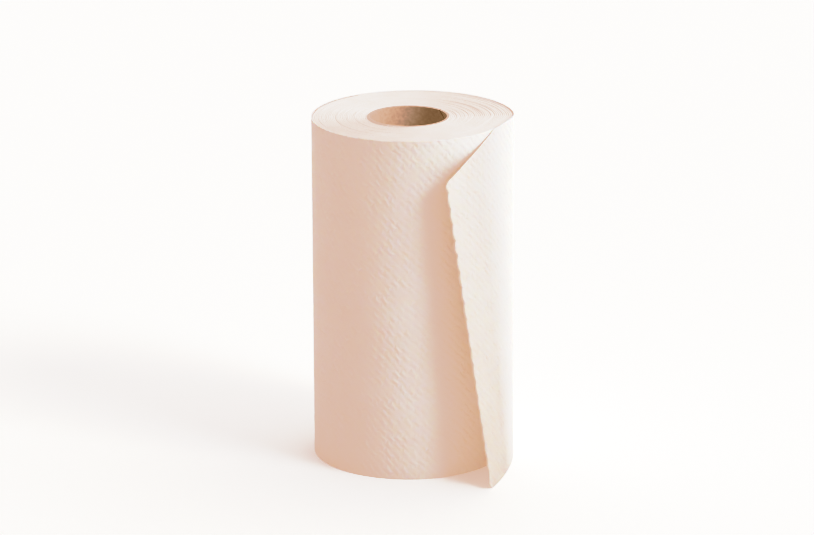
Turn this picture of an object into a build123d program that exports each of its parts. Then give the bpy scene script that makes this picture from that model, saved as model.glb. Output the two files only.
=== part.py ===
from build123d import *
from math import acos, cos, degrees, radians, sin
import os

# Kitchen paper roll standing on end: a cardboard core and one wound web of paper,
# whose last sheet stands free at the front right and ends in a scalloped perforation.
# Millimetres, +Z up. The origin is on the core's axis at the base, +X is to the right
# and -Y to the front.

# Overall sizes
roll_height = 200.0
roll_radius = 55.4  # round front and left of the roll, about the core's axis
outer_lift = 5.3  # how far the loose outer turns stand out at the right

# Cardboard core
core_bore_radius = 22.0
core_wall = 1.2

# Wound web: embossed two-ply paper, and the turns that show on both cut ends
web_thickness = 0.5
turn_pitch = 7.0  # a proud and a recessed band of turns, side by side
turn_recess_depth = 0.6
turn_margin = 4.0  # plain, tightly wound web left around the core

# Free sheet
foot_length = 73.0  # along the base, from the roll to the tip
foot_sweep_radius = 180.0  # the gentle curve of that foot, seen from above
head_leave_angle = 42.0  # where the top of the sheet leaves the roll, straight ahead
head_reach_angle = 75.3  # how far round the roll it reaches
head_gap = 0.8  # slack between the sheet and the roll, at the end of that reach
sheet_stations = 7

# Scalloped end of the free sheet, and its fallen top corner
scallop_pitch = 9.0
scallop_depth = 0.8
corner_drop = 21.5  # height lost at the corner, below the rim
corner_start_angle = 31.0  # where the top edge begins to fall away from the rim
trim_margin = 6.0  # past the sheet, for clean cuts

core_outer_radius = core_bore_radius + core_wall
seam_x = roll_radius + outer_lift  # outer face of the web where the free sheet leaves
seam_inner_x = seam_x - web_thickness
lie_down_angle = degrees(acos(roll_radius / seam_inner_x))
turn_recess_width = turn_pitch / 2
turn_room = roll_radius - turn_recess_width / 2 - core_outer_radius - turn_margin
half_turns = int(turn_room / turn_recess_width)


def around(radius, azimuth, height):
    """A point at a distance from the core's axis, azimuth in degrees from +X."""
    angle = radians(azimuth)
    return Vector(radius * cos(angle), radius * sin(angle), height)


def spiral_wall(offset):
    """One side of the recessed band of turns, from outside in, offset from its middle.

    Half circles about two centres, after a short lead in under the free sheet.
    """
    first_radius = roll_radius - turn_pitch / 4 + offset
    lead_in = lie_down_angle / 4
    arcs = [CenterArc((turn_pitch / 4, 0), first_radius, -lead_in, lead_in)]
    for half in range(half_turns):
        back = half % 2 == 0
        centre_x = turn_pitch / 4 if back else -turn_pitch / 4
        start_angle = 0 if back else 180
        arcs.append(
            CenterArc((centre_x, 0), first_radius - half * turn_pitch / 2, start_angle, 180)
        )
    return arcs


def sheet_strip(t):
    """Foot, head and outward side of one upright strip of the free sheet's inner face.

    t is 0 where the sheet leaves the roll and 1 at its perforated end.
    """
    foot_turn = t * foot_length / foot_sweep_radius
    foot = Vector(
        seam_inner_x - foot_sweep_radius * (1 - cos(foot_turn)),
        -foot_sweep_radius * sin(foot_turn),
        0,
    )
    reach = head_reach_angle * t
    off_round = max(lie_down_angle - reach, reach - head_leave_angle, 0)
    head_radius = roll_radius / cos(radians(off_round)) + head_gap * t
    head = around(head_radius, -reach, roll_height)

    head_side = min(reach, head_leave_angle)
    side = around(1, -(head_side + degrees(foot_turn)) / 2, 0)
    return foot, head, side


# Cardboard core: a plain tube, cut flush with the paper
with BuildPart() as cardboard_core:
    with BuildSketch():
        Circle(core_outer_radius)
        Circle(core_bore_radius, mode=Mode.SUBTRACT)
    extrude(amount=roll_height)

# Wound body: the back is a larger arc that runs on from the round front, and the outer
# turn lies down on the front along a straight tangent
with BuildPart() as wound_body:
    with BuildSketch():
        with BuildLine():
            back_radius = roll_radius + outer_lift / 2
            CenterArc((outer_lift / 2, 0), back_radius, 0, 180)
            CenterArc((0, 0), roll_radius, 180, 180 - lie_down_angle)
            Line(around(roll_radius, -lie_down_angle, 0), (seam_inner_x, 0))
            Line((seam_inner_x, 0), (seam_x, 0))
        make_face()
        Circle(core_outer_radius, mode=Mode.SUBTRACT)
    extrude(amount=roll_height)

    # Turns of the web on both cut ends: a spiral band lies a little below its neighbours
    for lower_side in (Plane.XY, Plane.XY.offset(roll_height - turn_recess_depth)):
        with BuildSketch(lower_side):
            with BuildLine():
                inner_wall = spiral_wall(-turn_recess_width / 2)
                outer_wall = spiral_wall(turn_recess_width / 2)
                Line(inner_wall[0] @ 0, outer_wall[0] @ 0)
                Line(inner_wall[-1] @ 1, outer_wall[-1] @ 1)
            make_face()
        extrude(amount=turn_recess_depth, mode=Mode.SUBTRACT)

# Free sheet: upright strips from the seam to just past the perforation
with BuildPart() as free_sheet:
    overrun = 1 + trim_margin / 2 / foot_length
    for station in range(sheet_stations):
        foot, head, side = sheet_strip(overrun * station / (sheet_stations - 1))
        strip_plane = Plane(origin=foot, x_dir=side, z_dir=side.cross(head - foot))
        with BuildSketch(strip_plane):
            lean, rise, _ = strip_plane.to_local_coords(head)
            Polygon(
                (0, 0),
                (web_thickness, 0),
                (lean + web_thickness, rise),
                (lean, rise),
                align=None,
            )
    loft()

    # Perforated end: rounded lobes between sharp notches, seen square to the sheet
    foot, head, side = sheet_strip(1)
    trim_plane = Plane(origin=foot, x_dir=head - foot, z_dir=side)
    edge_length = trim_plane.to_local_coords(head).X
    lobes = round(edge_length / scallop_pitch)
    lobe = edge_length / lobes
    with BuildSketch(trim_plane):
        with BuildLine():
            for i in range(lobes):
                ThreePointArc(
                    (i * lobe, -scallop_depth),
                    ((i + 0.5) * lobe, 0),
                    ((i + 1) * lobe, -scallop_depth),
                )
            Polyline(
                (edge_length, -scallop_depth),
                (edge_length, trim_margin),
                (0, trim_margin),
                (0, -scallop_depth),
            )
        make_face()
    extrude(amount=edge_length, both=True, mode=Mode.SUBTRACT)

    # Fallen corner: the top edge runs down from the rim to the perforation
    corner = trim_plane.to_local_coords(foot + (head - foot) * (1 - corner_drop / roll_height))
    rim_point = trim_plane.to_local_coords(
        around(roll_radius, -corner_start_angle, roll_height)
    )
    beyond = corner + (corner - rim_point)
    with BuildSketch(trim_plane):
        Polygon(
            (rim_point.X, rim_point.Y),
            (beyond.X, beyond.Y),
            (edge_length + trim_margin, beyond.Y),
            (edge_length + trim_margin, rim_point.Y),
            align=None,
        )
    extrude(amount=edge_length, both=True, mode=Mode.SUBTRACT)

# Wound paper: body and free sheet are one web
with BuildPart() as wound_paper:
    add(wound_body.part)
    add(free_sheet.part)

cardboard_core.part.label = "cardboard_core"
wound_paper.part.label = "wound_paper"

os.makedirs("parts", exist_ok=True)
export_step(cardboard_core.part, "parts/cardboard_core.step")
export_step(wound_paper.part, "parts/wound_paper.step")
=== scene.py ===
# %% [markdown]
# Kitchen paper roll
#
# A roll of embossed kitchen paper stands on end. Its loose sheet hangs away from the front
# and ends in a torn perforation. Three pieces show: the cardboard core, the tightly wound
# turns around it, and the outer web, which is the outermost turn with the loose sheet that
# runs on from it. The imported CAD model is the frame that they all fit. Its core is shown as
# it is, and the two paper pieces are made new here, finer than CAD needs them.

# %% Load the frame
from math import acos, cos, degrees, pi, radians, sin, sqrt

import bmesh
import bpy
from mathutils import Matrix, Vector, noise


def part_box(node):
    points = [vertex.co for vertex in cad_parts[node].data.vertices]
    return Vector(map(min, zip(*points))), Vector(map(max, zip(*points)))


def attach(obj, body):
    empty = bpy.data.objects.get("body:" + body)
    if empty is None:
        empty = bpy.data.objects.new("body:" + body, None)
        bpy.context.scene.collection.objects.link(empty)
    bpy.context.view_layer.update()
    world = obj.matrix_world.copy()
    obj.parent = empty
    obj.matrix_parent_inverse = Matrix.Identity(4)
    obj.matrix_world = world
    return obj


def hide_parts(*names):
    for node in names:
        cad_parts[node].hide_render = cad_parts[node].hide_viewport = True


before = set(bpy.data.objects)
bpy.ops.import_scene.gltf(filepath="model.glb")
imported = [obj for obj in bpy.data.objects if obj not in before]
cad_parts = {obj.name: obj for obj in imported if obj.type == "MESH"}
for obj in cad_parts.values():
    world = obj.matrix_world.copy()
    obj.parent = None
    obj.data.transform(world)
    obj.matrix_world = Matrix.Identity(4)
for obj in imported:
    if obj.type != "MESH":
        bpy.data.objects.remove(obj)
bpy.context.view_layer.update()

# %% [markdown]
# The main sizes could be typed in again, but they are read from the CAD model, so that the
# new paper always fits it. The front and left of the roll are round about the core, so the
# leftmost point of the CAD paper gives the roll's radius. Its rightmost point shows how far
# the looser back stands out. Paper is easier to think of in millimetres, and Blender works
# in metres, so sizes are worked out in millimetres and multiplied by MM where they are used.

# %% Sizes from the CAD model
MM = 0.001
paper_low, paper_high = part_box("wound_paper")
roll_height = round(paper_high[2] / MM, 1)
roll_radius = round(-paper_low[0] / MM, 1)
outer_lift = round(paper_high[0] / MM - roll_radius, 1)
core_radius = round(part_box("cardboard_core")[1][0] / MM, 1)
print("height", roll_height, "radius", roll_radius, "lift", outer_lift, "core", core_radius)

# %% [markdown]
# The camera comes first, because it decides how much detail will show. A photographer of
# small goods stands well back with a long lens, which keeps upright sides upright. This one
# stands 2.2 m away and looks down by 17 degrees, so the top shows as a flat ellipse. A
# constraint could aim the camera. Two turns do it as well and leave nothing live behind.

# %% Camera
camera_tilt = radians(17.23)
camera_roll = radians(-0.191)
camera_distance = 2200 * MM
camera_target = Vector((-1.13, 0, 109.63)) * MM
photo_width_px = 814
focal_length_px = 3816
film_width = 36  # mm, as in a full-frame camera

camera_data = bpy.data.cameras.new("camera")
camera_data.sensor_width = film_width
camera_data.lens = focal_length_px / photo_width_px * film_width
camera = bpy.data.objects.new("camera", camera_data)
bpy.context.collection.objects.link(camera)
towards_camera = Vector((0, -cos(camera_tilt), sin(camera_tilt)))
camera.location = camera_target + camera_distance * towards_camera
turned_up = Matrix.Rotation(pi / 2 - camera_tilt, 3, "X")
camera.rotation_euler = (turned_up @ Matrix.Rotation(camera_roll, 3, "Z")).to_euler()
bpy.context.scene.camera = camera
print("lens", round(camera_data.lens, 1), "mm")

# %% [markdown]
# Seen from above, the roll isn't quite round. Its front and left are a circle about the
# core. The last turns are loose, so the back is a larger half circle that stands further
# out at the right. There the outermost turn starts to lie down on the round front, and the
# loose sheet runs on above it. A curve object could draw this outline, but both paper
# pieces need it at any angle, so it's a function. Angles run against the clock from the
# right, 360 degrees once round, and negative angles are the head of the loose sheet. That
# head follows the roll closely and then goes straight ahead.

# %% Outline of the roll, seen from above
web_thickness = 0.5  # both plies, over their pillows
seam_radius = roll_radius + outer_lift - web_thickness
lie_down_angle = degrees(acos(roll_radius / seam_radius))
head_leave_angle = 42.0
head_reach_angle = 75.3
head_slack = 0.25  # between the head of the sheet and the roll, where the head ends


def outline(angle):
    """Distance of the paper's outer face from the core's axis, in mm, at an angle."""
    if angle < 0:
        off_round = max(lie_down_angle + angle, -angle - head_leave_angle, 0)
        slack = head_slack * min(-angle / head_reach_angle, 1)
        return roll_radius / cos(radians(off_round)) + slack + web_thickness
    if angle <= 180:
        centre = outer_lift / 2
        radius = roll_radius + outer_lift / 2
        across = centre * sin(radians(angle))
        return centre * cos(radians(angle)) + sqrt(radius**2 - across**2)
    if angle <= 360:
        return roll_radius / cos(radians(max(angle - 360 + lie_down_angle, 0)))
    return outline(angle - 360) - web_thickness


print("lies down within", round(lie_down_angle, 1), "degrees of the seam")

# %% [markdown]
# That outline has a corner at the seam, where the outermost turn and the loose sheet part.
# Its own weight can't crease paper, so the real corner is round. A Bevel modifier would
# round it only after the loose sheet has been shaped around it. Averaging the outline over
# a few degrees rounds it at once and leaves the round parts as they are.

# %% The outline, rounded at its seam
seam_softening = 6  # degrees to each side


def rounded_outline(angle):
    """The outline at an angle, averaged over its neighbourhood."""
    nearby = range(-seam_softening, seam_softening + 1, 2)  # every second degree
    return sum(outline(angle + step) for step in nearby) / len(nearby)


def polar(radius, angle, height=0.0):
    """A point at a distance from the core's axis, with its angle in degrees."""
    return Vector((radius * cos(radians(angle)), radius * sin(radians(angle)), height))


print("outline", [round(rounded_outline(a), 2) for a in (-75, -42, 0, 90, 180, 270, 359)])

# %% [markdown]
# The loose sheet stays near the roll at its head and swings out over the table at its foot.
# Cloth physics could let it fall there, but paper hardly stretches, and a sheet that can't
# stretch bends along straight lines. So this is a ruled surface: every upright strip of it
# runs straight from a foot, on one long gentle curve, to a head on the outline.

# %% Shape of the loose sheet
foot_length = 73.0
foot_sweep_radius = 180.0


def sheet_point(t, height):
    """Outer face of the loose sheet: t is 0 at the seam and 1 at the torn edge."""
    turn = t * foot_length / foot_sweep_radius
    foot_x = seam_radius - foot_sweep_radius * (1 - cos(turn))
    foot = Vector((foot_x, -foot_sweep_radius * sin(turn), 0))
    foot += Vector((cos(turn), -sin(turn), 0)) * web_thickness
    head = polar(rounded_outline(-head_reach_angle * t), -head_reach_angle * t)
    return foot.lerp(head, height / roll_height) + Vector((0, 0, height))


print("tip of the sheet", sheet_point(1, 0))

# %% [markdown]
# The sheet was torn off along its perforation. The cuts leave rounded lobes, about 9 mm
# long and 1.2 mm deep, and no two tear alike. The lowest one droops and is worn to a blunt
# tip. Small discs could be cut from the edge with a Boolean, but that leaves faces of every
# shape along it, and they would shade unevenly. Here a formula moves the edge of the grid
# back instead. Noise looks random and yet is the same in every run, so it makes each lobe
# differ and frays the edge.

# %% The torn edge
lobe_length = 9.1
lobe_depth = 1.2
lobe_unevenness = 0.35  # share of the depth
lobe_stride = 3.7  # how far one lobe is from the next in the noise
fray_depth = 0.12
fray_fineness = 0.9  # how far one mm goes in the noise
fray_row = 5  # a part of the noise that the lobes don't use
droop_reach = 1.8
droop_height = 14
tip_wear = 3.6
tip_height = 4


def torn_edge(height):
    """How far the torn edge stands back from its straight line, in mm."""
    lobe, across = divmod(height / lobe_length, 1)
    uneven = lobe_unevenness * noise.noise((lobe * lobe_stride, 0, 0))
    arch = 4 * (across - 0.5) ** 2  # 0 in the middle of a lobe and 1 at its two notches
    notch = lobe_depth * (1 + uneven) * arch
    fray = fray_depth * noise.noise((height * fray_fineness, fray_row, 0))
    wear = tip_wear * max(1 - height / tip_height, 0) ** 2
    droop = droop_reach * max(1 - height / droop_height, 0)
    return notch + fray + wear - droop


print("torn edge", [round(torn_edge(mm), 2) for mm in (0, 5, 9, 14, 100, 178)])

# %% [markdown]
# The top corner of the sheet has slumped, so its top edge falls away from the rim in a
# straight line, and handling has rounded the corner. The corner could be cut off with
# bisect_plane. A falling top edge is better, because the grid's rows then follow it, and
# the edge is made of whole faces.

# %% The fallen top edge
corner_height = 178.5
corner_start_angle = 31.0
corner_start = corner_start_angle / head_reach_angle
corner_wear = 1.6
corner_zone = 0.045  # share of the sheet that the rounding takes


def top_edge(t):
    """Height of the web's top edge: level on the roll, falling towards the corner."""
    fall = max((t - corner_start) / (1 - corner_start), 0)
    wear = corner_wear * max((t - (1 - corner_zone)) / corner_zone, 0) ** 2
    return roll_height - (roll_height - corner_height) * fall - wear


print("top edge", [round(top_edge(t), 1) for t in (0, 0.5, 0.75, 1)])

# %% [markdown]
# Thin paper is never flat. The loose sheet waves a little, and the outermost turn hardly at
# all, because the turns under it hold it. A Displace modifier could do this, but then it
# would wave the seam and the rim too. One noise is read here for the whole web, and the next
# cells decide how much of it each place gets.

# %% Gentle waves
wave_length_along = 38
wave_length_up = 60
wave_row = 2.5  # a part of the noise of their own


def flutter(along, height):
    """Gentle waves a few centimetres long, between -1 and 1."""
    return noise.noise((along / wave_length_along, height / wave_length_up, wave_row))


print("waves", [round(flutter(mm, 100), 2) for mm in (0, 15, 30, 45)])

# %% [markdown]
# The outer web is one strip of paper. It could be two meshes that meet at the seam, but one
# grid lets the embossing run on across the seam without a break. Its first columns lie on
# the loose sheet, from the torn edge back to the seam. Their upper half is squeezed together,
# so that it ends at the falling top edge. The torn edge shapes the end of the sheet and
# fades out within the next few columns. Each place also says how far along the web it is,
# with 0 at the seam, because the embossing is laid out along the web later.

# %% Grid corners on the loose sheet
edge_fade = 12  # a power of t: the higher it is, the sooner the lobes fade
wave_depth = 0.5
wave_growth = 3  # the waves are full from a third of the sheet onwards
head_calm = 0.8  # share of the waves that the rim holds still


def loose_point(t, height):
    """A place on the loose sheet, and how far along the web it is, in mm."""
    height -= (roll_height - top_edge(t)) * max(2 * height / roll_height - 1, 0)
    back = torn_edge(height) / foot_length * t**edge_fade
    point = sheet_point(t - back, height)
    along = (back - t) * foot_length
    wave = wave_depth * min(t * wave_growth, 1) * (1 - head_calm * height / roll_height)
    outward = Vector((point.x, point.y, 0)).normalized()
    return point + outward * wave * flutter(along, height), along


print("lowest corner of the grid", loose_point(1, 0)[0])

# %% [markdown]
# The other columns run once round the roll and end under the loose sheet. At the seam this
# turn has to meet the sheet exactly, so the rounding of the outline grows from nothing at
# the foot to all of it at the rim, and the waves fade out towards both ends. All of this
# could be sculpted by hand. Formulas keep the two halves of the grid together.

# %% Grid corners on the outermost turn
ripple_depth = 0.06
ripple_fade = 20  # degrees


def wound_point(angle, height):
    """A place on the outermost turn, and how far along the web it is, in mm."""
    rounding = height / roll_height if angle < 180 else 1
    radius = outline(angle) + rounding * (rounded_outline(angle) - outline(angle))
    along = radians(angle) * roll_radius
    ripple = ripple_depth * min(angle / ripple_fade, 1, (360 - angle) / ripple_fade)
    return polar(radius + ripple * (1 + flutter(along, height)), angle, height), along


print("the seam at half height", loose_point(0, 100)[0], wound_point(0, 100)[0])

# %% [markdown]
# Now the web is made. Every new piece is filled into a bmesh and becomes an object at the
# origin, so its place is in its mesh, in metres, just like the CAD nodes beside it. For the
# web, create_grid gives the faces, and every corner is moved to its place. The rows are as
# fine as the torn edge needs, with 13 to a lobe. The UV map says how far along and how high
# up the web each corner is, in metres, and so it's true to size for the patterns.

# %% Outer web
sheet_columns = 50
wound_columns = 110
web_columns = sheet_columns + wound_columns
web_rows = 290
web_merge = 0.02  # corners nearer than this are one


def new_piece(name, mesh_builder):
    """An object from a bmesh that the builder fills, in metres, with smooth faces."""
    bm = bmesh.new()
    mesh_builder(bm)
    mesh = bpy.data.meshes.new(name)
    bm.to_mesh(mesh)
    bm.free()
    mesh.shade_smooth()
    piece = bpy.data.objects.new(name, mesh)
    bpy.context.collection.objects.link(piece)
    print(name, len(mesh.vertices), "vertices", len(mesh.polygons), "faces")
    return piece


def grid_step(coordinate, steps):
    """Which column or row a corner of a new grid is in: the grid runs from -1 to 1."""
    return round((coordinate + 1) / 2 * steps)


def web_point(column, row):
    """Where one corner of the web's grid goes, and how far along the web it is, in mm."""
    height = roll_height * row / web_rows
    if column < sheet_columns:
        return loose_point(1 - column / sheet_columns, height)
    return wound_point(360 * (column - sheet_columns) / wound_columns, height)


def build_outer_web(bm):
    """One grid for the whole web, with a UV map of places along and up the web."""
    bmesh.ops.create_grid(bm, x_segments=web_columns, y_segments=web_rows, size=1)
    along_web = bm.loops.layers.uv.new("along_web")
    place, along = {}, {}
    for vertex in bm.verts:
        column = grid_step(vertex.co.x, web_columns)
        row = grid_step(vertex.co.y, web_rows)
        place[vertex], along[vertex] = web_point(column, row)
    for face in bm.faces:
        for loop in face.loops:
            loop[along_web].uv = (along[loop.vert] * MM, place[loop.vert].z * MM)
    for vertex, point in place.items():
        vertex.co = point * MM
    bmesh.ops.remove_doubles(bm, verts=bm.verts, dist=web_merge * MM)
    bmesh.ops.recalc_face_normals(bm, faces=bm.faces)


outer_web = new_piece("outer_web", build_outer_web)

# %% [markdown]
# Two plies of tissue glued together are about half a millimetre thick over their pillows,
# and that shows at the torn edge. The grid could be copied inwards and bridged. A Solidify
# modifier does the same in three settings and keeps the UV map. It works inwards from the
# outer face, so the roll keeps its size.

# %% Thickness of the web
two_plies = outer_web.modifiers.new("two_plies", "SOLIDIFY")
two_plies.thickness = web_thickness * MM
two_plies.offset = -1
two_plies.use_even_offset = True
print("web", round(two_plies.thickness / MM, 2), "mm thick")

# %% [markdown]
# The wound turns behind the outer web are one solid body. Only its two cut ends and a sliver
# of its side ever show. On a real end every turn is a fine ridge, and the ridges are one
# long spiral. They could be painted as rings, but then light from the side wouldn't catch
# them. So the grid itself winds inwards: three rows make one turn, a crest and two rows of
# the valley beside it. The turns are drawn 1 mm apart, twice as coarse as the real web,
# because real ones are too fine to show in the picture.

# %% Inner turns: their cut ends
turn_pitch = 1.0
rows_per_turn = 3
row_depths = (0.0, 0.32, 0.1)  # one for each of these rows
crest_depth = 0.3  # how far the crests lie below the rim
turn_unevenness = 0.25
turn_stride = 1.7  # how far one turn is from the next in the noise
layer_gap = 0.03
turns = round((roll_radius - core_radius) / turn_pitch)
end_rows = (turns + 1) * rows_per_turn


def end_point(step, angle, top):
    """A point of a cut end: step counts rows outwards from the core."""
    share = min(max((step / rows_per_turn - angle / 360) / turns, 0), 1)
    layers_outside = 2 if angle == 0 else 1
    edge = rounded_outline(angle) - web_thickness * layers_outside - layer_gap
    radius = core_radius + share * (edge - core_radius)
    turn_number = step // rows_per_turn - angle / 360
    at_turn = (turn_number * turn_stride, sin(radians(angle)), cos(radians(angle)))
    uneven = turn_unevenness * noise.noise(at_turn)
    at_border = share in (0, 1)
    depth = 0.0 if at_border else row_depths[step % rows_per_turn] + crest_depth + uneven
    return polar(radius, angle, roll_height - depth if top else depth)


print(turns, "turns, in", end_rows, "rows on each end")

# %% [markdown]
# One grid is bent round the whole body. Its rows start at the core on the lower end, run
# outwards, up the side, inwards over the upper end and down the inside. A body of four
# meshes would be as good to look at, but one closed mesh has no gaps, and its faces can be
# turned outwards in one go.

# %% Inner turns: one grid around the body
wall_rows = 2
spokes = 192
turns_merge = 0.01  # the grid's last corners meet its first ones within this


def turns_point(row, angle):
    """Where one corner of the turns' grid goes, in mm."""
    if row <= end_rows:
        return end_point(row, angle, top=False)
    if row < end_rows + wall_rows:
        point = end_point(end_rows, angle, top=False)
        point.z = roll_height * (row - end_rows) / wall_rows
        return point
    if row <= 2 * end_rows + wall_rows:
        return end_point(2 * end_rows + wall_rows - row, angle, top=True)
    point = end_point(0, angle, top=True)
    point.z = roll_height * (1 - (row - 2 * end_rows - wall_rows) / wall_rows)
    return point


def build_inner_turns(bm):
    """One closed grid for the body, with all its faces turned outwards."""
    rows = 2 * (end_rows + wall_rows)
    bmesh.ops.create_grid(bm, x_segments=spokes, y_segments=rows, size=1)
    for vertex in bm.verts:
        angle = 360 * grid_step(vertex.co.x, spokes) / spokes
        vertex.co = turns_point(grid_step(vertex.co.y, rows), angle) * MM
    bmesh.ops.remove_doubles(bm, verts=bm.verts, dist=turns_merge * MM)
    bmesh.ops.recalc_face_normals(bm, faces=bm.faces)


inner_turns = new_piece("inner_turns", build_inner_turns)

# %% [markdown]
# Paint and print makers give a colour as a hex value, which is sRGB. Blender works in linear
# light, so one function turns such values round. The nodes could be set up in the editor by
# hand. Here a function adds one with its settings and its links, so that each material below
# reads as a short list. The names tree, shader and place always belong to the material that
# is being made. A Mix node has its two colours in sockets 6 and 7 and gives their mixture
# from socket 2, because it has sockets for plain numbers and vectors under the same names.

# %% Helpers for materials
def srgb(code):
    """Linear RGBA of a hex colour such as 'f2ede6'."""
    levels = [int(code[i : i + 2], 16) / 255 for i in (0, 2, 4)]
    return [c / 12.92 if c <= 0.04045 else ((c + 0.055) / 1.055) ** 2.4 for c in levels] + [1]


def texture_scale(size):
    """Scale of a texture, whose places are in metres, for features of that many mm."""
    return 1000 / size


def add_node(tree, kind, inputs=None, **settings):
    """Add a shader node; inputs are values or sockets to link, by name or number."""
    made = tree.nodes.new("ShaderNode" + kind)
    for name, value in settings.items():
        setattr(made, name, value)
    for name, value in (inputs or {}).items():
        if isinstance(value, bpy.types.NodeSocket):
            tree.links.new(value, made.inputs[name])
        else:
            made.inputs[name].default_value = value
    return made


def new_material(name):
    """An empty material: its tree and its shader, to be filled in."""
    material = bpy.data.materials.new(name)
    material.use_nodes = True
    tree = material.node_tree
    return material, tree, tree.nodes["Principled BSDF"]


print("middle grey", [round(level, 3) for level in srgb("808080")])

# %% [markdown]
# Kitchen paper is two plies of creped tissue, pressed between an embossing roller and a
# rubber one, and glued where they touch. To the eye it's a soft, matt white with rows of
# small raised pillows that slant down to the right. Real pillows in the mesh would need far
# more than 200,000 triangles in this one piece, so they are bump, which only tilts the light.
#
# Rows that are quite straight look printed. The pattern therefore starts from the UV map
# with its places pushed to and fro by noise, and is then turned to the slant of the rows.

# %% Embossed tissue: rows that bend a little
row_slant = radians(47)
bend_size = 9.0
bend_reach = 4.0

tissue, tree, shader = new_material("embossed_two_ply_tissue")
place = add_node(tree, "TexCoord").outputs["UV"]
bend = add_node(
    tree,
    "TexNoise",
    {"Vector": place, "Scale": texture_scale(bend_size), "Detail": 2.0},
).outputs["Color"]
to_and_fro = add_node(
    tree, "VectorMath", {0: bend, 1: (0.5, 0.5, 0.5)}, operation="SUBTRACT"
).outputs[0]
push = add_node(
    tree, "VectorMath", {0: to_and_fro, "Scale": bend_reach * MM}, operation="SCALE"
).outputs[0]
bent = add_node(tree, "VectorMath", {0: place, 1: push}, operation="ADD").outputs[0]
slanted = add_node(
    tree, "Mapping", {"Vector": bent, "Rotation": (0, 0, row_slant)}
).outputs[0]
print("rows slant by", round(degrees(row_slant)), "degrees")

# %% [markdown]
# The rows are 3.6 mm apart and each pillow is 6.5 mm long, shifted by half a pillow from row
# to row. That is how bricks are laid, so a Brick texture gives it, where a Wave texture
# would give rows without pillows. The mortar between the bricks is the pressed-in line, and
# it's blurred all the way to the middle of the brick, so that each pillow is round.
#
# Pillows get flatter where the paper was wound tightly or handled. A second noise sets how
# deep the lines are from place to place.

# %% Embossed tissue: its pillows
row_spacing = 3.6
pillow_length = 6.5
pressed_width = 1.7
wear_size = 7.0
wear_range = (0.35, 0.65)  # most of this noise lies in between
depth_range = (0.1, 0.9)  # from a flat pillow to a full one
emboss_depth = 0.35

pressed = add_node(
    tree,
    "TexBrick",
    {
        "Vector": slanted,
        "Scale": texture_scale(1),  # so that the three sizes below are in mm
        "Row Height": row_spacing,
        "Brick Width": pillow_length,
        "Mortar Size": pressed_width,
        "Mortar Smooth": 1.0,  # a share, and this is all of it
    },
).outputs["Fac"]
worn = add_node(
    tree,
    "TexNoise",
    {"Vector": place, "Scale": texture_scale(wear_size), "Detail": 3.0},
).outputs[0]
depth = add_node(
    tree,
    "MapRange",
    {
        "Value": worn,
        "From Min": wear_range[0],
        "From Max": wear_range[1],
        "To Min": depth_range[0],
        "To Max": depth_range[1],
    },
).outputs[0]
embossed = add_node(
    tree,
    "Bump",
    {"Height": pressed, "Distance": emboss_depth * MM, "Strength": depth},
    invert=True,
).outputs[0]
print("pillows", row_spacing, "by", pillow_length, "mm")

# %% [markdown]
# Tissue is scraped off its drying drum with a blade, which folds it into fine creases. The
# real creases and fibres are finer than a pixel. They are drawn about 0.8 mm wide here, with
# noise, so that the paper still looks fibrous and not like plastic.

# %% Embossed tissue: its creped fibres
crepe_size = 0.8
crepe_depth = 0.12

crepe = add_node(
    tree,
    "TexNoise",
    {"Vector": place, "Scale": texture_scale(crepe_size), "Detail": 4.0},
).outputs[0]
creped = add_node(
    tree,
    "Bump",
    {"Height": crepe, "Distance": crepe_depth * MM, "Strength": 0.6, "Normal": embossed},
).outputs[0]
print("crepe", crepe_size, "mm")

# %% [markdown]
# The next perforation crosses the back of the roll, one sheet of 225 mm from the torn edge.
# It's a line of fine cuts with a short bond of paper between each two. Real holes in the
# mesh would only show the next turn, which lies right behind them. So a place counts as cut
# when it's near that line and not in a bond, and the bump sinks there.

# %% Embossed tissue: the next perforation
sheet_length = 225.0
cut_width = 0.4
cut_share = 0.9  # of each lobe, and the rest is the bond
cut_depth = 0.3

web_place = add_node(tree, "SeparateXYZ", {0: place}).outputs
near_line = add_node(
    tree,
    "Math",
    {0: web_place["X"], 1: (sheet_length - foot_length) * MM, 2: cut_width / 2 * MM},
    operation="COMPARE",
).outputs[0]
lobes_up = add_node(
    tree, "Math", {0: web_place["Y"], 1: lobe_length * MM}, operation="DIVIDE"
).outputs[0]
in_lobe = add_node(tree, "Math", {0: lobes_up}, operation="FRACT").outputs[0]
not_bond = add_node(
    tree, "Math", {0: in_lobe, 1: cut_share}, operation="LESS_THAN"
).outputs[0]
cut = add_node(tree, "Math", {0: near_line, 1: not_bond}, operation="MULTIPLY").outputs[0]
surface = add_node(
    tree,
    "Bump",
    {"Height": cut, "Distance": cut_depth * MM, "Strength": 1.0, "Normal": creped},
    invert=True,
).outputs[0]
print("next perforation", sheet_length - foot_length, "mm past the seam")

# %% [markdown]
# Bleached tissue is nearly white, and a little warm. One flat colour would look like
# plastic, and an image would need a photograph of paper. Two close whites are mixed by a
# slow noise instead, as the fibres lie denser in some places. The cuts are painted a darker
# white, as painted shade for the light that gets lost in them.

# %% Embossed tissue: its colour
cloud_size = 30.0

cloud = add_node(
    tree,
    "TexNoise",
    {"Vector": place, "Scale": texture_scale(cloud_size), "Detail": 3.0},
).outputs[0]
whites = add_node(
    tree,
    "Mix",
    {"Factor": cloud, 6: srgb("e7e4e0"), 7: srgb("edebe8")},
    data_type="RGBA",
).outputs[2]
# The cuts are painted darker: this is painted shade in them, not a colour of the paper.
whites = add_node(
    tree,
    "Mix",
    {"Factor": cut, 6: whites, 7: srgb("d6d1cb")},
    data_type="RGBA",
).outputs[2]
tree.links.new(whites, shader.inputs["Base Color"])
tree.links.new(surface, shader.inputs["Normal"])
print("clouds", cloud_size, "mm")

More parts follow.
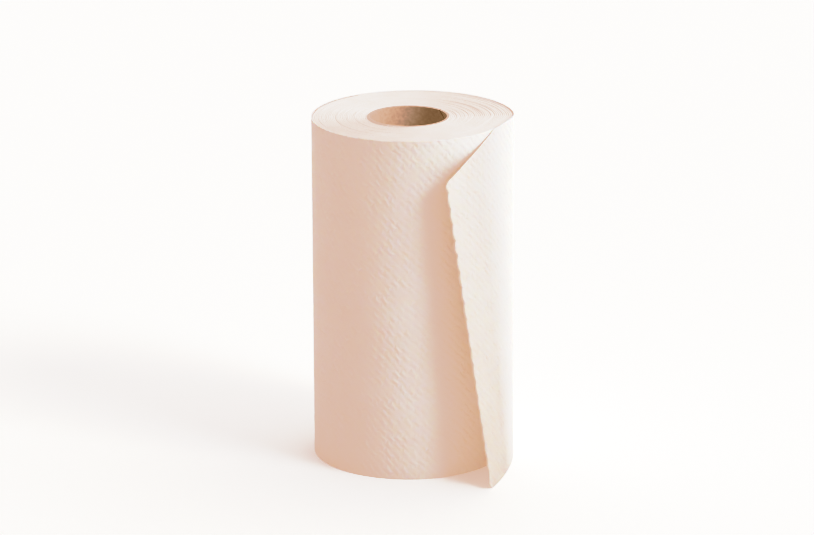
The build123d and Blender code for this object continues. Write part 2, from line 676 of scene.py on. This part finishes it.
# %% [markdown]
# Cellulose has an IOR of 1.47. Its fibres point every way, so the paper is rough, hardly
# glossy, and has a faint sheen from the fibre ends that stand up. Light also scatters
# between the fibres and comes out again about a millimetre away, red light furthest. That
# is subsurface scattering, and it softens the relief more truly than a weaker bump would.

# %% Embossed tissue: its softness
shader.inputs["Roughness"].default_value = 0.9
shader.inputs["IOR"].default_value = 1.47
shader.inputs["Specular IOR Level"].default_value = 0.25
shader.inputs["Sheen Weight"].default_value = 0.1
shader.inputs["Subsurface Weight"].default_value = 1.0
shader.inputs["Subsurface Radius"].default_value = (1.0, 0.75, 0.6)
shader.inputs["Subsurface Scale"].default_value = 0.8 * MM
print("light spreads", round(shader.inputs["Subsurface Scale"].default_value / MM, 2), "mm")

# %% [markdown]
# Some light passes right through the tissue, so the shaded side of a loose sheet glows. The
# shader's transmission is meant for glass and would need a solid of clear matter. A
# Translucent shader is made for thin sheets, and it's mixed in for the loose sheet only,
# because behind the rest of the web lie a hundred more turns that send the light back. Its
# share grows from the seam over 45 mm of the sheet. It also grows towards the foot, where
# the sheet stands furthest from the roll and the glow should show most.

# %% Embossed tissue: its glow
glow_ramp = 45
glow_at_foot = 0.58
glow_at_head = 0.24

past_seam = add_node(
    tree,
    "MapRange",
    {
        "Value": web_place["X"],
        "From Min": -glow_ramp * MM,
        "From Max": 0,
        "To Min": 1,
        "To Max": 0,
    },
).outputs[0]
off_roll = add_node(
    tree,
    "MapRange",
    {
        "Value": web_place["Y"],
        "From Min": 0,
        "From Max": roll_height * MM,
        "To Min": glow_at_foot,
        "To Max": glow_at_head,
    },
).outputs[0]
glow_share = add_node(
    tree, "Math", {0: past_seam, 1: off_roll}, operation="MULTIPLY"
).outputs[0]
glow = add_node(tree, "BsdfTranslucent", {"Color": whites, "Normal": surface}).outputs[0]
paper = add_node(
    tree, "MixShader", {0: glow_share, 1: shader.outputs[0], 2: glow}
).outputs[0]
tree.links.new(paper, tree.nodes["Material Output"].inputs["Surface"])
outer_web.data.materials.append(tissue)
print(tissue.name, len(tree.nodes), "nodes")

# %% [markdown]
# The ends of the roll were sawn from a long log. The blade leaves every turn as a fuzzy edge
# of loose fibres, so the end is a little duller and rougher than the face, with hardly any
# gloss. The turns are in the mesh already, and a hair system would be far too heavy for such
# short fibres, so they are drawn as fine noise. Real ones are thinner than the 1.1 mm here.

# %% Sawn tissue
fuzz_size = 1.1
fuzz_depth = 0.25
patch_size = 14.0

sawn, tree, shader = new_material("sawn_tissue_edges")
place = add_node(tree, "TexCoord").outputs["Object"]
fuzz = add_node(
    tree,
    "TexNoise",
    {"Vector": place, "Scale": texture_scale(fuzz_size), "Detail": 5.0},
).outputs[0]
surface = add_node(
    tree, "Bump", {"Height": fuzz, "Distance": fuzz_depth * MM, "Strength": 0.5}
).outputs[0]
patches = add_node(
    tree,
    "TexNoise",
    {"Vector": place, "Scale": texture_scale(patch_size), "Detail": 4.0},
).outputs[0]
whites = add_node(
    tree,
    "Mix",
    {"Factor": patches, 6: srgb("e4dfda"), 7: srgb("ece9e6")},
    data_type="RGBA",
).outputs[2]
tree.links.new(whites, shader.inputs["Base Color"])
tree.links.new(surface, shader.inputs["Normal"])
shader.inputs["Roughness"].default_value = 1.0
shader.inputs["Specular IOR Level"].default_value = 0.1
shader.inputs["Subsurface Weight"].default_value = 0.1
shader.inputs["Subsurface Radius"].default_value = (1.0, 0.8, 0.7)
shader.inputs["Subsurface Scale"].default_value = 1.0 * MM
inner_turns.data.materials.append(sawn)
print(sawn.name, len(tree.nodes), "nodes")

# %% [markdown]
# The core is board from recycled fibre, wound as a slanting ribbon around a steel mandrel
# and glued. The CAD tube already has the right shape, so it keeps its mesh and only gets a
# material. Bare board is a plain grey-brown with pale and dark fibres. They are drawn
# 1.6 mm wide, coarser than real ones, or they wouldn't show inside the tube.

# %% Core board: its fibres
fibre_size = 1.6
fibre_depth = 0.1

board, tree, shader = new_material("spiral_wound_core_board")
place = add_node(tree, "TexCoord").outputs["Object"]
fibres = add_node(
    tree,
    "TexNoise",
    {"Vector": place, "Scale": texture_scale(fibre_size), "Detail": 6.0},
).outputs[0]
greys = add_node(
    tree,
    "Mix",
    {"Factor": fibres, 6: srgb("afa8a1"), 7: srgb("dcd8d3")},
    data_type="RGBA",
).outputs[2]
surface = add_node(
    tree, "Bump", {"Height": fibres, "Distance": fibre_depth * MM, "Strength": 0.4}
).outputs[0]
tree.links.new(surface, shader.inputs["Normal"])
shader.inputs["Roughness"].default_value = 0.85
shader.inputs["Specular IOR Level"].default_value = 0.3
print("fibres", fibre_size, "mm")

# %% [markdown]
# Between two windings of the ribbon runs a thin dark joint that climbs 95 mm in each turn.
# It could be a groove, but it's too fine to catch light, so it's only a line of colour. Two
# counts make it: how many turns the height is worth, and how far round the tube the place
# is. Where their difference has just passed a whole number, there is the joint.

# %% Core board: its spiral joint
ribbon_rise = 95.0
joint_share = 0.006  # of one turn

tube_place = add_node(tree, "SeparateXYZ", {0: place}).outputs
bearing = add_node(
    tree, "Math", {0: tube_place["Y"], 1: tube_place["X"]}, operation="ARCTAN2"
).outputs[0]
turned = add_node(tree, "Math", {0: bearing, 1: 2 * pi}, operation="DIVIDE").outputs[0]
climbed = add_node(
    tree, "Math", {0: tube_place["Z"], 1: ribbon_rise * MM}, operation="DIVIDE"
).outputs[0]
windings = add_node(tree, "Math", {0: climbed, 1: turned}, operation="SUBTRACT").outputs[0]
on_ribbon = add_node(tree, "Math", {0: windings}, operation="FRACT").outputs[0]
joint = add_node(
    tree, "Math", {0: on_ribbon, 1: joint_share}, operation="LESS_THAN"
).outputs[0]
browns = add_node(
    tree,
    "Mix",
    {"Factor": joint, 6: greys, 7: srgb("6b6158")},
    data_type="RGBA",
).outputs[2]
tree.links.new(browns, shader.inputs["Base Color"])
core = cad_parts["cardboard_core"]
core.data.materials.clear()
core.data.materials.append(board)
print(board.name, len(tree.nodes), "nodes")

# %% [markdown]
# Both paper pieces take the place of the one solid of wound paper in the CAD model, which is
# hidden, and ride on its only body. The core stays as it is, with its new material. Cloth
# would be declared as a sheet, but this web is paper, and most of it is wound.

# %% Tie the pieces to the frame
for piece in (outer_web, inner_turns):
    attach(piece, "root")
    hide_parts("wound_paper")
print("tied", outer_web.name, inner_turns.name, core.name)

# %% [markdown]
# The roll stands on a sheet of matt white acrylic, lit faintly from below as product tables
# often are. More lamps could whiten the table too, but they would wash out the paper. The
# glow lifts only the table. It reaches 6 m each way, so that its edges are never seen.

# %% Table
table_reach = 6


def build_table(bm):
    """One flat face."""
    bmesh.ops.create_grid(bm, x_segments=1, y_segments=1, size=table_reach)


table = new_piece("table", build_table)
acrylic, tree, shader = new_material("matt_white_acrylic")
shader.inputs["Base Color"].default_value = srgb("fbf9f7")
shader.inputs["Roughness"].default_value = 0.9
shader.inputs["Emission Color"].default_value = srgb("ffffff")
shader.inputs["Emission Strength"].default_value = 0.13
table.data.materials.append(acrylic)

# %% [markdown]
# One large soft lamp stands to the right and a little in front, 34 degrees up. The shadow
# that the loose sheet throws on the roll tells where. An area lamp would light the near side
# of the table more than the far side. A sun lamp lights it evenly, and at 22 degrees wide it
# still gives that shadow a blurred edge.

# %% Key light
key_bearing = radians(-32)
key_height = radians(34)
key_width = radians(22)

level_reach = cos(key_height)
towards_key = Vector(
    (level_reach * cos(key_bearing), level_reach * sin(key_bearing), sin(key_height))
)
key = bpy.data.lights.new("key", "SUN")
key.angle = key_width
key.energy = 1.0
key_object = bpy.data.objects.new("key", key)
bpy.context.collection.objects.link(key_object)
key_object.rotation_euler = towards_key.to_track_quat("Z", "Y").to_euler()
print("towards the key light", [round(v, 2) for v in towards_key])

# %% [markdown]
# The rest of the light comes from the studio itself: a bright wall at the right, a dimmer
# one at the back and a ceiling. They could be real planes, but then they would show from
# other sides. As patches of sky they only give light. Each is strongest straight towards its
# own wall and fades to nothing at right angles to it.

# %% Studio walls
studio_walls = {
    "ceiling": ((0, 0, 1), 1.04),
    "right": ((1, 0, 0), 1.62),
    "back": ((0, 1, 0), 1.12),
}
wall_narrowness = 2.0  # a power, so that a higher one makes smaller patches

world = bpy.data.worlds.new("studio")
world.use_nodes = True
bpy.context.scene.world = world
sky = world.node_tree
looking = add_node(sky, "TexCoord").outputs["Generated"]
all_walls = 0.0
for way, strength in studio_walls.values():
    along_way = add_node(
        sky, "VectorMath", {0: looking, 1: way}, operation="DOT_PRODUCT"
    ).outputs["Value"]
    facing = add_node(sky, "Math", {0: along_way, 1: 0.0}, operation="MAXIMUM").outputs[0]
    patch = add_node(
        sky, "Math", {0: facing, 1: wall_narrowness}, operation="POWER"
    ).outputs[0]
    all_walls = add_node(
        sky, "Math", {0: patch, 1: strength, 2: all_walls}, operation="MULTIPLY_ADD"
    ).outputs[0]
sky.links.new(all_walls, sky.nodes["Background"].inputs["Strength"])
sky.nodes["Background"].inputs["Color"].default_value = srgb("ffffff")
print("walls", list(studio_walls))

# %% [markdown]
# The picture is toned warm, as a print can be: whites stay white and shade turns to peach.
# That belongs to the picture and not to the paper. Warm lamps would tint the whites too, and
# warm materials would be wrong in any other scene. So the view's own curves do it, one each
# for red, green and blue. They also climb more slowly below white, which keeps the brightest
# paper a little darker than the table behind it.

# %% Warm toning
light_levels = (0.1, 0.24, 0.4, 0.55, 0.65, 0.8, 0.9, 1, 1.1)  # light in the scene
shown_levels = (
    (0.13, 0.37, 0.69, 0.715, 0.755, 0.852, 0.892, 0.925, 0.973),  # how red is shown
    (0.07, 0.24, 0.45, 0.515, 0.625, 0.812, 0.868, 0.91, 0.968),  # green
    (0.03, 0.17, 0.34, 0.44, 0.595, 0.8, 0.86, 0.903, 0.963),  # blue
)
brightest = 1.2  # light that is shown as pure white

view = bpy.context.scene.view_settings
view.view_transform = "Standard"
view.use_curve_mapping = True
toning = view.curve_mapping
toning.white_level = [brightest] * 3
for curve, shown in zip(toning.curves, shown_levels):
    for light, level in zip(light_levels, shown):
        curve.points.new(light / brightest, level)
toning.update()
print("toning points", [len(curve.points) for curve in toning.curves])

# %% [markdown]
# The dressed roll has to be as large as the CAD model, because both are used together.

# %% [markdown]
# The last call prints the names of the pieces.

# %% Finish
print("pieces", [piece.name for piece in (core, inner_turns, outer_web, table)])
